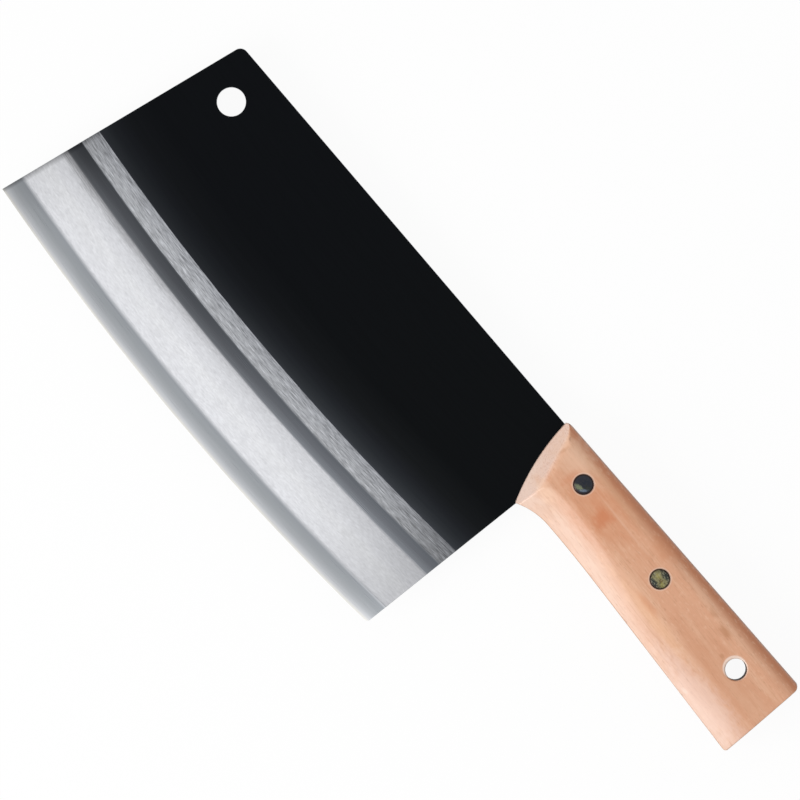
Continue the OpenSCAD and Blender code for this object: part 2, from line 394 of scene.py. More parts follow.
def handle_prism(bottom, top):
    """The handle's outline between two heights, with its corners rounded."""
    bm = bmesh.new()
    add_arc(bm, front_centre, front_radius, angle_of(front_top - front_centre) + 360,
            angle_of(front_low - front_centre) + 360, 0.8)
    add_arc(bm, notch_centre, notch_radius, angle_of(front_low - notch_centre), 90, 2.5)
    add_arc(bm, belly_centre, belly_radius, 90, belly_degrees, 0.25)
    belly_end = belly_centre + heading(belly_degrees) * belly_radius
    add_line(bm, [belly_end, butt_low, butt_top, front_top])
    prism(bm, bottom, top)
    for place, radius in ((front_top, front_corner), (butt_top, butt_corner_back),
                          (butt_low, butt_corner_low)):
        ease(bm, upright_edges(bm, place), radius, 8)
    return bm


print("handle front corner at", [round(c / mm, 2) for c in front_low], "mm")

# %% [markdown]
# ## The steel
# Blade and tang are one plate, 2.2 mm thick. The grind makes it thinner in steps: a brushed strip, a
# polished band, a wide satin bevel and the sharpened bevel, which ends in a hair-thin edge with a
# narrow second bevel from the whetstone. A section of the plate is spun about the centre of the
# edge's arc, as the blade swings past the wheel when it is ground. The plate is then trimmed to the
# outline of blade and handle, drilled, and its corners eased.

# %% Boolean with throwaway objects
def combine(kept, tool, operation):
    """Unite two solids, or trim or drill the first with the second. Both are used up."""
    kept_object = mesh_object("scratch", kept)
    tool_object = mesh_object("scratch", tool)
    modifier = kept_object.modifiers.new("cut", "BOOLEAN")
    modifier.operation = operation
    modifier.solver = "EXACT"
    modifier.object = tool_object
    graph = bpy.context.evaluated_depsgraph_get()
    result = bmesh.new()
    result.from_object(kept_object, graph)
    for used in (kept_object, tool_object):
        mesh = used.data
        bpy.data.objects.remove(used)
        bpy.data.meshes.remove(mesh)
    weld(result)
    return result


# %% The plate, spun and trimmed
bevel_width = 8.1 * mm
satin_width = 18.0 * mm
polish_width = 5.7 * mm
strip_width = 7.1 * mm
whetted_width = 0.8 * mm
strip_drop = 0.08 * mm
polish_drop = 0.25 * mm
satin_drop = 0.6 * mm
whetted_half = 0.15 * mm
edge_half = 0.03 * mm
spine_r = 868 * mm

middle_z = (blade_low.z + blade_high.z) / 2
steel_half = (blade_high.z - blade_low.z) / 2
bevel_r = edge_radius - bevel_width
satin_r = bevel_r - satin_width
polish_r = satin_r - polish_width
strip_r = polish_r - strip_width
section = [(spine_r, steel_half), (strip_r, steel_half), (polish_r, steel_half - strip_drop),
           (satin_r, steel_half - polish_drop), (bevel_r, steel_half - satin_drop),
           (edge_radius - whetted_width, whetted_half), (edge_radius, edge_half)]

# The first ring lies before the toe. The half step keeps every ring clear of the heel's corner
ring_step = 0.2
ring_count = 110
rings_to_heel = 60.5
first_ring = angle_of(heel - edge_centre) - rings_to_heel * ring_step

# The two prisms end at different heights, so that no faces of theirs coincide
blade_prism_half = 3 * mm
handle_prism_half = 4 * mm
past_edge = 5 * mm


def ground_plate():
    """The whole plate with its ground faces, wider than the knife."""
    bm = bmesh.new()
    out = heading(first_ring)
    both_sides = section + [(radius, -half) for radius, half in reversed(section)]
    verts = []
    for radius, height in both_sides:
        at = edge_centre + out * radius
        verts.append(bm.verts.new((at.x, at.y, middle_z + height)))
    face = bm.faces.new(verts)
    bmesh.ops.spin(bm, geom=[face, *face.edges, *face.verts], axis=(0, 0, 1),
                   cent=(edge_centre.x, edge_centre.y, 0),
                   angle=math.radians(ring_count * ring_step), steps=ring_count)
    close_up(bm)
    return bm


def blade_prism(bottom, top):
    """The blade's straight sides between two heights, reaching past the edge."""
    bm = bmesh.new()
    below = Vector((0, blade_low.y - past_edge))
    toe_below = crossing(toe, toe_degrees, below, 0)
    heel_below = crossing(heel, heel_degrees, below, 0)
    add_line(bm, [toe_below, toe_top, heel_top, heel_below, toe_below])
    prism(bm, bottom, top)
    ease(bm, upright_edges(bm, toe_top), toe_corner, 8)
    return bm


outline = combine(blade_prism(middle_z - blade_prism_half, middle_z + blade_prism_half),
                  handle_prism(middle_z - handle_prism_half, middle_z + handle_prism_half), "UNION")
steel = combine(ground_plate(), outline, "INTERSECT")
# The flat faces of the spun plate lie in one plane, so the seams between them go
seams = [e for e in steel.edges
         if len(e.link_faces) == 2 and all(abs(f.normal.z) > 0.9999999 for f in e.link_faces)]
bmesh.ops.dissolve_edges(steel, edges=seams, use_verts=True)
print("plate:", len(steel.faces), "faces")

# %% [markdown]
# ## Holes and eased edges of the steel
# The blade has a hanging hole near the toe, and the tang has three holes: two for the rivets and one
# for hanging. The mounts and the rivets of the construction give their places and sizes. Every edge
# of the outline is broken with a narrow bevel, which is bright where the coating has worn off it.
# The bevel stops short of the sharpened part, where the plate gets too thin for one.

# %% Drills and where they go
round_sides = 72


def rods(circles, bottom, top):
    """Plain cylinders between two heights, for drilling. A circle is its place and radius."""
    bm = bmesh.new()
    for place, radius in circles:
        middle = Matrix.Translation((place.x, place.y, (top + bottom) / 2))
        bmesh.ops.create_cone(bm, cap_ends=True, segments=round_sides, radius1=radius, radius2=radius,
                              depth=top - bottom, matrix=middle)
    return bm


drill_past = 5 * mm
fit_gap = 0.02 * mm
tube_r = 2.5 * mm


def mount_hole(name):
    """Place and radius of a round mount."""
    mount = mounts[name]
    return Vector(mount["pos_m"][:2]), mount["dims"]["r_mm"] * mm


def centre_of(name):
    """Centre of a construction piece in the plane."""
    low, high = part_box(name)
    return ((low + high) / 2).xy


blade_hole, blade_hole_r = mount_hole("blade_hang_hole")
handle_hole, handle_hole_r = mount_hole("handle_hang_hole")
rivet_places = {name: centre_of(name + "_rivet_male") for name in ("front", "middle")}
rivet_holes = [(place, tube_r + fit_gap) for place in rivet_places.values()]
steel_holes = [(blade_hole, blade_hole_r), (handle_hole, handle_hole_r), *rivet_holes]
steel = combine(steel, rods(steel_holes, middle_z - drill_past, middle_z + drill_past), "DIFFERENCE")
print("holes of the steel:", len(steel_holes))

# %% Eased edges of the steel
steel_break = 0.2 * mm


def from_edge_centre(point):
    """Distance of a point from the centre of the edge's arc."""
    return (point.xy - edge_centre).length


def is_flat(face):
    """True where a face of the plate looks up or down."""
    return abs(face.normal.z) > 0.9


def is_rim(edge):
    """True on the border between a side of the plate and its upright wall, above the bevel."""
    if len(edge.link_faces) != 2:
        return False
    return (is_flat(edge.link_faces[0]) != is_flat(edge.link_faces[1])
            and all(from_edge_centre(v.co) < bevel_r + 0.01 * mm for v in edge.verts))


heel_edges = upright_edges(steel, heel, 0.2 * mm)
ease(steel, heel_edges, heel_corner, 6)
ease(steel, [e for e in steel.edges if is_rim(e)], steel_break, 2)
print("steel:", len(steel.faces), "faces, heel corner edges", len(heel_edges))

# %% [markdown]
# ## The scales
# A scale starts as a bar. Its section is drawn at many stations along the handle, always with the
# same number of points, and each is bridged to the next. The spine side is a soft oval. The lower side
# is planed off in a long facet that steepens a little towards the belly. Its ridge follows the finger
# notch, then runs straighter, and it is crisp at the front and soft at the butt, as in the photograph.
# The front is planed off too, in small steps that leave its ridge round.

# %% A shaped bar for a scale
oval_width = 7.0 * mm
oval_depth = 4.5 * mm
oval_steps = 12
ridge_front = 18.2 * mm
ridge_butt = 24.5 * mm
ridge_turn_start = 58 * mm
ridge_turn_end = 125 * mm
ridge_crisp = 1.0 * mm
ridge_soft = 4.7 * mm
facet_degrees = 21
lower_facet_degrees = 31
upper_facet_front = 4.5 * mm
upper_facet_butt = 7.2 * mm
mid_round = 2 * mm
chamfer_length = 3.4 * mm
chamfer_lean = 20.5
chamfer_degrees = 52
chamfer_round = 4.5 * mm
chamfer_cuts = 8
station_count = 42
bar_past = 1.2 * mm
tool_past = 1 * mm
# The inset keeps the spine side of the bar inside the outline, so the trim leaves its oval whole
spine_inset = 0.01 * mm

scale_low, scale_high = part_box("left_scale")
face_z = scale_high.z
inner_z = scale_low.z


def eased_share(value, start, end):
    """0 before a start, 1 past an end, and a smooth rise in between."""
    share = min(max((value - start) / (end - start), 0), 1)
    return share * share * (3 - 2 * share)


def towards_butt(x, at_front, at_butt):
    """A size that changes smoothly from its value at the front to its value at the butt."""
    return at_front + (at_butt - at_front) * eased_share(x, ridge_turn_start, ridge_turn_end)


def ridge_down(x):
    """Distance of the lower facet's ridge below the spine side. It sinks with the finger notch."""
    in_notch = min(max(grip_x - x, 0), grip_x - front_low.x)
    sink = notch_radius - math.sqrt(notch_radius ** 2 - in_notch ** 2)
    return towards_butt(x, ridge_front, ridge_butt) + sink


def bar_section(bm, x):
    """Section of the bar across the handle, as a face whose ridges are rounded."""
    foot_z = inner_z - tool_past
    back = back_point(x, spine_inset).y
    ridge = back_point(x, ridge_down(x)).y
    upper_width = towards_butt(x, upper_facet_front, upper_facet_butt)
    softness = towards_butt(x, ridge_crisp, ridge_soft)
    mid_y = ridge - upper_width
    mid_z = face_z - upper_width * slope(facet_degrees)
    low_y = mid_y - (mid_z - foot_z) / slope(lower_facet_degrees)
    corners = [(low_y, foot_z), (back, foot_z)]
    for step in range(oval_steps + 1):
        turn = math.radians(90 * step / oval_steps)
        corners.append((back - oval_width * (1 - math.cos(turn)),
                        face_z - oval_depth * (1 - math.sin(turn))))
    corners += [(ridge, face_z), (mid_y, mid_z)]
    verts = [bm.verts.new((x, y, z)) for y, z in corners]
    face = bm.faces.new(verts)
    for vert, offset, segments in ((verts[-2], softness, 6), (verts[-1], mid_round, 3)):
        bmesh.ops.bevel(bm, geom=[vert], offset=offset, offset_type="OFFSET", segments=segments,
                        profile=0.5, affect="VERTICES", material=-1, clamp_overlap=False)
    # The bevels replace the face, so it is found again by its place
    return [f for f in bm.faces if all(abs(v.co.x - x) < 0.01 * mm for v in f.verts)][0]


def plane_off(bm, place, outward):
    """Remove what lies above a plane, and close the cut."""
    bmesh.ops.bisect_plane(bm, geom=[*bm.verts, *bm.edges, *bm.faces], dist=0.001 * mm,
                           plane_co=place, plane_no=outward, clear_outer=True)
    close_up(bm)


def shaped_bar():
    """The bar, with its long sides shaped and its front planed off."""
    bm = bmesh.new()
    step = (butt_x - front_x + 2 * bar_past) / station_count
    sections = [bar_section(bm, front_x - bar_past + i * step) for i in range(station_count + 1)]
    loops = [list(face.edges) for face in sections]
    bmesh.ops.delete(bm, geom=sections[1:-1], context="FACES_ONLY")
    for first, second in zip(loops, loops[1:]):
        bmesh.ops.bridge_loops(bm, edges=first + second)
    bmesh.ops.recalc_face_normals(bm, faces=bm.faces)
    ridge_place = back_point(front_x + chamfer_length)
    right = heading(chamfer_lean - 180)
    inside = chamfer_round * slope(chamfer_degrees / 2)
    axis = Vector((ridge_place.x - right.x * inside, ridge_place.y - right.y * inside,
                   face_z - chamfer_round))
    for cut in range(1, chamfer_cuts + 1):
        tilt = math.radians(chamfer_degrees * cut / chamfer_cuts)
        outward = Vector((right.x * math.sin(tilt), right.y * math.sin(tilt), math.cos(tilt)))
        plane_off(bm, axis + outward * chamfer_round, outward)
    return bm


bar = shaped_bar()
print("bar:", len(bar.verts), "vertices,", len(bar.faces), "faces")

# %% [markdown]
# ## Trimming and drilling
# The bar is trimmed to the outline of the handle and its edges are eased. Then come the holes. Each
# drill has a flared collar, a turned shape like a rounding bit, so the hole and its rounded rim are
# cut in one go, which is cleaner on a mesh than rounding the rim afterwards.

# %% The left scale, trimmed, eased and drilled
scale_break = 0.45 * mm
rim_break = 0.25 * mm
hook_break = 0.7 * mm
joint_break = 0.12 * mm
head_r = 3.5 * mm
head_depth = 2.5 * mm
corner_turn = 30
rim_lift = 0.02 * mm


def corner_edges(bm, lowest, highest):
    """Edges between clearly turned faces, with their middle between two heights."""
    return [e for e in bm.edges if math.degrees(e.calc_face_angle(0)) > corner_turn
            and lowest < (e.verts[0].co.z + e.verts[1].co.z) / 2 < highest]


def turned(place, half_section):
    """A closed turned part. The half section runs from the axis out and back to the axis."""
    bm = bmesh.new()
    verts = [bm.verts.new((place.x + radius, place.y, height)) for radius, height in half_section]
    edges = [bm.edges.new(pair) for pair in zip(verts, verts[1:])]
    bmesh.ops.spin(bm, geom=verts + edges, cent=(place.x, place.y, 0), axis=(0, 0, 1),
                   angle=math.tau, steps=round_sides, use_merge=True)
    weld(bm, 0.001 * mm)
    bmesh.ops.recalc_face_normals(bm, faces=bm.faces)
    return bm


def collared_drill(place, radius, bottom, collar, steps=5):
    """A drill up through the face, whose collar rounds the rim of the hole."""
    rim = face_z + rim_lift
    points = [(0, bottom), (radius, bottom)]
    for step in range(steps + 1):
        turn = math.radians(90 * step / steps)
        points.append((radius + collar * (1 - math.cos(turn)), rim - collar * (1 - math.sin(turn))))
    return turned(place, points + [(radius + collar, rim + tool_past), (0, rim + tool_past)])


scale = combine(bar, handle_prism(inner_z, face_z + tool_past), "INTERSECT")
ease(scale, corner_edges(scale, inner_z + 0.1 * mm, math.inf), scale_break, 3)
# Rounding errors can leave the butt a hair outside the construction's box, where it may not be
for vert in scale.verts:
    vert.co.x = min(vert.co.x, butt_x)
ease(scale, corner_edges(scale, -math.inf, inner_z + 0.01 * mm), joint_break, 1)
past_joint = inner_z - tool_past
scale = combine(scale, rods(rivet_holes, past_joint, face_z + tool_past), "DIFFERENCE")
for place in rivet_places.values():
    scale = combine(scale, collared_drill(place, head_r + fit_gap, face_z - head_depth, rim_break),
                    "DIFFERENCE")
scale = combine(scale, collared_drill(handle_hole, handle_hole_r, past_joint, hook_break), "DIFFERENCE")
print("scale:", len(scale.faces), "faces")

# %% The right scale is its mirror image
other_scale = scale.copy()
bmesh.ops.scale(other_scale, vec=(1, 1, -1), verts=other_scale.verts)
bmesh.ops.translate(other_scale, vec=(0, 0, 2 * middle_z), verts=other_scale.verts)
bmesh.ops.reverse_faces(other_scale, faces=other_scale.faces)
print("right scale:", len(other_scale.faces), "faces")

# %% [markdown]
# ## The rivets
# Each rivet has two halves, one driven into the other through the handle: a head with a solid pin from
# the left, and a head with a tube from the right. Both are turned parts, so a half section is drawn
# and spun once round. The heads are ground nearly flush with the wood and keep a slight dome.

# %% Turned rivet halves
pin_r = 1.5 * mm
end_room = 0.5 * mm
head_round = 0.5 * mm
head_dome = 0.15 * mm
tip_break = 0.3 * mm


def head_section(top, direction):
    """Domed outer side of a head, from the axis to its rim. Direction is 1 up or -1 down."""
    points = [(0, 0), (0.45 * head_r, 0.15 * head_dome), (0.75 * head_r, 0.5 * head_dome),
              (head_r - head_round, head_dome), (head_r - 0.3 * head_round, head_dome + 0.3 * head_round),
              (head_r, head_dome + head_round), (head_r, head_depth)]
    return [(radius, top - direction * depth) for radius, depth in points]


def male_half(place):
    """Head on the left face and a solid pin."""
    tip = cad_low.z + head_depth + end_room
    pin = [(pin_r, face_z - head_depth), (pin_r, tip + tip_break), (pin_r - tip_break, tip), (0, tip)]
    return turned(place, head_section(face_z, 1) + pin)


def female_half(place):
    """Head on the right face and a tube that takes the pin."""
    under_head = cad_low.z + head_depth
    end = face_z - head_depth - end_room
    bore_r = pin_r + fit_gap
    tube = [(tube_r, under_head), (tube_r, end - tip_break), (tube_r - tip_break, end), (bore_r, end),
            (bore_r, under_head), (0, under_head)]
    return turned(place, head_section(cad_low.z, -1) + tube)


rivet_halves = {}
for name, place in rivet_places.items():
    rivet_halves[name + "_rivet_male"] = male_half(place)
    rivet_halves[name + "_rivet_female"] = female_half(place)
print("rivet halves:", ", ".join(rivet_halves))

# %% [markdown]
# ## Finish of the steel
# Brushed and ground steel gets its look from fine lines that follow the grinder's path. Here that path
# runs along the edge, so the materials work with the distance from the cutting edge and the distance
# along it, both in millimetres and both found from the point's place in the frame. Noise that is short
# across and long along that path draws the lines, a little coarser than real ones, which are too fine
# to show. The bands differ in brightness partly because each was ground at its own angle and with its
# own grit, and partly by painted light: their colours hold the light and dark that the steel mirrors,
# and each band is painted lighter or darker towards the ends of the blade, as the studio light falls.

# %% Steel: places on the blade
def level_offset(tree, point):
    """Offset of the surface from a point, level with the blade, in millimetres."""
    place = node(tree, "TexCoord").outputs["Object"]
    offset = node(tree, "VectorMath", {0: place, 1: (point.x, point.y, 0)}, operation="SUBTRACT")
    return node(tree, "VectorMath", {0: offset, 1: (1 / mm, 1 / mm, 0)}, operation="MULTIPLY")


def grind_coordinates(tree):
    """Distance from the cutting edge, distance along it, and height, all in millimetres."""
    offset = level_offset(tree, edge_centre)
    radius = node(tree, "VectorMath", {0: offset}, operation="LENGTH")
    across = node(tree, "Math", {0: edge_radius / mm, 1: radius}, operation="SUBTRACT")
    parts = node(tree, "SeparateXYZ", {0: offset}).outputs
    below = node(tree, "Math", {0: 0.0, 1: parts["Y"]}, operation="SUBTRACT")
    turn = node(tree, "Math", {0: parts["X"], 1: below}, operation="ARCTAN2")
    along = node(tree, "Math", {0: turn, 1: edge_radius / mm}, operation="MULTIPLY")
    place = node(tree, "TexCoord").outputs["Object"]
    height = node(tree, "VectorMath", {0: place, 1: (0, 0, 1 / mm)}, operation="DOT_PRODUCT")
    return across, along, height


band_borders = (strip_r, polish_r, satin_r, bevel_r)
print("grind borders, mm from the edge:", [round((edge_radius - r) / mm, 1) for r in band_borders])

# %% Steel: patterns
def brush_lines(tree, coordinates, width, length, lean=0.0):
    """Noise drawn out into lines of a width and length in mm, which lean off the grind by a slope."""
    across, along, height = coordinates
    leaning = node(tree, "Math", {0: along, 1: lean, 2: across}, operation="MULTIPLY_ADD")
    joined = node(tree, "CombineXYZ", {"X": leaning, "Y": along, "Z": height})
    drawn_out = node(tree, "VectorMath", {0: joined, 1: (1 / width, 1 / length, 1)},
                     operation="MULTIPLY")
    return node(tree, "TexNoise", {"Vector": drawn_out, "Scale": 1.0, "Detail": 3.0, "Roughness": 0.65})


def spread(tree, noise, low, high):
    """Draw the middle of a noise, 0.3 to 0.7, out to a range."""
    return node(tree, "MapRange", {"Value": noise, "From Min": 0.3, "From Max": 0.7,
                                   "To Min": low, "To Max": high})


def wavering(tree, value, noise, reach):
    """A value that noise moves up and down, by up to a reach."""
    return node(tree, "Math", {0: value, 1: spread(tree, noise, -reach, reach)}, operation="ADD")


def lengthwise(tree, along, stops):
    """A factor along the blade. Stops are pairs of distance from the toe in mm, and factor."""
    low, high = stops[0][0], stops[-1][0]
    start = -edge_low_from_toe / mm
    share = node(tree, "MapRange", {"Value": along, "From Min": start + low, "From Max": start + high})
    curve = node(tree, "FloatCurve", {"Value": share})
    curve.mapping.use_clip = False
    points = curve.mapping.curves[0].points
    for at, factor in stops[1:-1]:
        points.new((at - low) / (high - low), factor)
    for point, (at, factor) in zip(points, stops):
        point.location = ((at - low) / (high - low), factor)
    curve.mapping.update()
    return curve


def toe_shade(tree, reach, least=0.5):
    """A factor that falls from 1 to its least within a reach, in mm, of the toe end of the blade."""
    inward = heading(toe_degrees - 90)
    distance = node(tree, "VectorMath", {0: level_offset(tree, toe), 1: (inward.x, inward.y, 0)},
                    operation="DOT_PRODUCT")
    return node(tree, "MapRange", {"Value": distance, "From Min": steel_break / mm,
                                   "From Max": reach, "To Min": least})


def side_shade(tree, across, along, start, full, amounts):
    """A factor that drops below 1 between two distances from the edge, by amounts along the blade."""
    set_in = node(tree, "MapRange", {"Value": across, "From Min": start, "From Max": full},
                  interpolation_type="SMOOTHSTEP")
    amount = node(tree, "Math", {0: set_in, 1: lengthwise(tree, along, amounts)}, operation="MULTIPLY")
    return node(tree, "Math", {0: 1.0, 1: amount}, operation="SUBTRACT")


# %% Steel: colours
def shaded(tree, colour, factors):
    """A colour made lighter or darker by each of the factors."""
    for factor in factors:
        colour = node(tree, "VectorMath", {0: colour, "Scale": factor}, operation="SCALE")
    return colour


def painted(tree, ground, coats):
    """Lay colours over a ground. Each coat has a pattern, the values between which it sets in,
    its strength and its colour."""
    for pattern, start, full, coat_strength, colour in coats:
        amount = node(tree, "MapRange", {"Value": pattern, "From Min": start, "From Max": full,
                                         "To Max": coat_strength}, interpolation_type="SMOOTHSTEP")
        ground = node(tree, "Mix", {"Factor": amount, "A": ground, "B": colour}, data_type="RGBA")
    return ground


def across_colours(tree, across, stops):
    """Colours across the blade. Stops are pairs of distance from the edge in mm, and colour."""
    low, high = stops[0][0], stops[-1][0]
    share = node(tree, "MapRange", {"Value": across, "From Min": low, "From Max": high})
    ramp = node(tree, "ValToRGB", {"Fac": share})
    elements = ramp.color_ramp.elements
    places = [(stop[0] - low) / (high - low) for stop in stops]
    for place in places[2:]:
        elements.new(place)
    for element, place, stop in zip(elements, places, stops):
        element.position = place
        element.color = linear(stop[1])
    return ramp


def finish_surface(tree, shader, colour, roughness, relief, others):
    """Feed a shader. Relief is a pattern, the strength of its bumps and their depth in mm."""
    pattern, bump_strength, depth = relief
    bump = node(tree, "Bump", {"Height": pattern, "Strength": bump_strength, "Distance": depth * mm})
    feed(tree, shader, {"Base Color": colour, "Roughness": roughness, "Normal": bump, **others})


bare_metal = {"Metallic": 1.0}

# %% Steel: the ground bands
bevel_end = bevel_width / mm
satin_end = bevel_end + satin_width / mm
polish_end = satin_end + polish_width / mm
strip_end = polish_end + strip_width / mm
# Colours across the bands, from the edge up: partly each grind's own finish and partly painted reflection,
# as the dark grey of the polished band and the fall from light to dark within a band stand for what the
# steel mirrors
grind_stops = [(0.0, "#DDDBD4"), (1.0, "#C9CACD"), (2.0, "#B4B7BB"), (3.2, "#A5A8AC"),
               (5.0, "#999DA1"), (bevel_end - 0.7, "#95999E"),
               (bevel_end + 0.9, "#D9DADE"), (17.0, "#D9DADD"), (20.0, "#D2D3D7"),
               (satin_end - 0.5, "#C7C8CC"),
               (satin_end + 0.5, "#80848A"), (29.0, "#6B6E74"), (polish_end - 0.4, "#62666C"),
               (polish_end + 0.6, "#A2A4A8"), (35.0, "#9EA0A4"), (strip_end, "#909297")]

# Width and length in mm, and lean, of the strokes that fray the borders and the shades of a band
border_strokes = (0.35, 12.0)
shade_strokes = (0.4, 9.0, 0.01)
shade_fray = 1.3
roughness_spread = 0.06


def ground_steel(name, line_sets, ends, toe_reach, ragged, roughness, relief, sides=()):
    """Stainless steel ground along the edge. Lines show as light and dark streaks with slight relief.

    A set of lines is their width and length in mm, how much they lean, and their contrast. Ends is
    a factor along the blade that paints the band lighter or darker towards its ends, as light falls on
    it, and ragged is how far the borders fray, in mm. A side is where a painted shade starts and is
    full, in mm from the edge, and its amounts along the blade."""
    material, tree, shader = new_material(name)
    coordinates = grind_coordinates(tree)
    across, along = coordinates[:2]
    place = wavering(tree, across, brush_lines(tree, coordinates, *border_strokes), ragged)
    factors = [lengthwise(tree, along, ends), toe_shade(tree, toe_reach)]
    for side in sides:
        strokes = brush_lines(tree, coordinates, *shade_strokes)
        factors.append(side_shade(tree, wavering(tree, across, strokes, shade_fray), along, *side))
    for width, length, lean, contrast in line_sets:
        lines = brush_lines(tree, coordinates, width, length, lean)
        factors.append(spread(tree, lines, 1 - contrast, 1 + contrast))
    finish_surface(tree, shader, shaded(tree, across_colours(tree, place, grind_stops), factors),
                   spread(tree, lines, roughness - roughness_spread, roughness + roughness_spread),
                   (lines, 0.5, relief), bare_metal)
    return material


# The sharpened bevel: smooth grey with a light line at the very edge
whetted_steel = ground_steel(
    "whetted_steel", [(0.5, 20.0, 0.0, 0.02)],
    [(0, 0.725), (7, 0.77), (15, 0.855), (25, 0.905), (65, 0.945), (95, 0.99), (175, 1.01),
     (185, 1.06), (196, 1.2)], toe_reach=1.5, ragged=0.1, roughness=0.32, relief=0.004)
# The wide bevel: the brightest band, soft and cloudy, with short fine scratches
satin_steel = ground_steel(
    "satin_ground_steel", [(8.0, 30.0, 0.1, 0.015), (0.7, 4.0, 0.03, 0.04), (0.32, 1.8, -0.02, 0.1)],
    [(0, 0.83), (7, 0.86), (15, 0.91), (35, 0.965), (65, 0.985), (95, 1.0), (125, 1.0),
     (155, 0.96), (175, 0.86), (185, 0.79), (196, 0.72)],
    toe_reach=2.2, ragged=0.15, roughness=0.38, relief=0.008,
    # Its upper border is painted darker towards the toe: a painted shade
    sides=[(22.3, satin_end, [(0, 0.56), (30, 0.42), (65, 0.28), (130, 0.0)])])
# The narrow band above it: a fine polish without clear lines, drawn dark grey as a painted reflection of
# the dark surroundings that it mirrors
polished_steel = ground_steel(
    "polished_steel", [(3.0, 60.0, 0.0, 0.03), (0.6, 25.0, 0.0, 0.03)],
    [(0, 0.25), (7, 0.29), (15, 0.385), (25, 0.455), (35, 0.49), (65, 0.5), (85, 0.585),
     (105, 0.72), (125, 0.855), (155, 0.97), (175, 1.0), (196, 0.92)],
    toe_reach=2.0, ragged=0.15, roughness=0.24, relief=0.002)
# The strip below the coating: coarse strokes that sparkle light and dark
brushed_steel = ground_steel(
    "coarse_brushed_steel", [(0.5, 9.0, -0.03, 0.22), (0.28, 4.2, 0.02, 0.5)],
    [(0, 0.72), (7, 0.8), (15, 0.91), (25, 1.0), (65, 1.04), (95, 1.0), (155, 0.97),
     (175, 0.85), (185, 0.7), (196, 0.55)], toe_reach=2.2, ragged=0.2, roughness=0.42, relief=0.02)

# %% Steel: black coating and cut edges
def black_coating():
    """Baked black coating: deep and even, with a painted grey sheen above the ground bands, stronger
    towards the heel, that stands for light on it.
    """
    material, tree, shader = new_material("black_coating")
    coordinates = grind_coordinates(tree)
    across, along = coordinates[:2]
    grain = brush_lines(tree, coordinates, 0.8, 30.0)
    # A painted sheen: grey light on the coating just above the strip, fading towards the spine
    painted_sheen = across_colours(tree, across, [
        (strip_end, "#3A3D42"), (strip_end + 1.5, "#323539"), (strip_end + 4, "#272A2E"),
        (strip_end + 7, "#1E2024"), (strip_end + 11, "#151719"), (strip_end + 20, "#0B0D0F")])
    amount = lengthwise(tree, along, [(0, 0.5), (35, 0.45), (70, 0.45), (95, 0.62), (125, 0.82),
                                      (155, 0.97), (175, 1.0), (196, 0.92)])
    colour = node(tree, "Mix", {"Factor": amount, "A": "#0A0C10", "B": painted_sheen}, data_type="RGBA")
    finish_surface(tree, shader, shaded(tree, colour, [spread(tree, grain, 0.93, 1.07)]),
                   spread(tree, grain, 0.36, 0.46), (grain, 0.3, 0.004), {"Specular IOR Level": 0.03})
    return material


def cut_steel():
    """Bare edges of the plate, linished, so the lines run level round the outline."""
    material, tree, shader = new_material("linished_steel_edge")
    place = node(tree, "TexCoord").outputs["Object"]
    length, width = 9 * mm, 0.3 * mm
    drawn_out = node(tree, "VectorMath", {0: place, 1: (1 / length, 1 / length, 1 / width)},
                     operation="MULTIPLY")
    lines = node(tree, "TexNoise", {"Vector": drawn_out, "Scale": 1.0, "Detail": 3.0})
    finish_surface(tree, shader, painted(tree, "#8E9195", [(lines, 0.35, 0.65, 1.0, "#A9ABAE")]),
                   spread(tree, lines, 0.34, 0.46), (lines, 0.3, 0.01), bare_metal)
    return material


steel_finishes = [black_coating(), brushed_steel, polished_steel, satin_steel, whetted_steel, cut_steel()]
print("steel finishes:", ", ".join(finish.name for finish in steel_finishes))

# %% From a mesh to a shown piece
def finish_piece(name, bm, materials, replaced):
    """Turn a mesh into a shown piece: shading, materials, body and the node it stands for."""
    for face in bm.faces:
        face.smooth = True
    for edge in bm.edges:
        faces = edge.link_faces
        turn = math.degrees(edge.calc_face_angle(0))
        same = len(faces) == 2 and faces[0].material_index == faces[1].material_index
        edge.smooth = same and turn < corner_turn
    open_edges = sum(1 for e in bm.edges if len(e.link_faces) != 2)
    print(name, len(bm.verts), "vertices,", len(bm.faces), "faces,", open_edges, "open edges,",
          round(bm.calc_volume(signed=True) / mm ** 3), "mm3")
    made = mesh_object(name, bm)
    for material in materials:
        made.data.materials.append(material)
    weighted = made.modifiers.new("flat_faces_stay_flat", "WEIGHTED_NORMAL")
    weighted.keep_sharp = True
    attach(made, "root")
    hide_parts(replaced)


# %% Steel: each face gets the finish of its band
cut_edge_zone = len(steel_finishes) - 1


def steel_zone(face):
    """Place in the list of finishes for a face of the plate: its band, or the cut edge."""
    if not is_flat(face):
        return cut_edge_zone
    radius = from_edge_centre(face.calc_center_median())
    return sum(radius > border for border in band_borders)


for face in steel.faces:
    face.material_index = steel_zone(face)
finish_piece("blade", steel, steel_finishes, "blade")

# %% [markdown]
# ## Finish of the wood
# The scales are a pale, fine-grained hardwood, perhaps pear or beech, sanded and lightly oiled. The
# grain runs along the handle with a slight slant. The material lays colours over each other, as stains
# lie in wood. First come the broad figure and soft mottling. Then comes painted light and shade: wood
# that is paler or darker by the way its surface faces the lamp, and a painted shade along the rims.
# Fibres, pores and specks follow, and last the warm patches and brown flecks of this one piece, each an
# oval that noise makes uneven, and the rings round the holes, partly painted light and shade. Real
# fibres are finer than these, but finer ones wouldn't show. A thin coat gives the sheen of the oil.

# %% Wood: patterns
grain_degrees = -1.8


def from_handle_front(along, down):
    """Point of the handle at a distance behind its front and below its spine side, both in mm."""
    return back_point(front_x + along * mm, down * mm)


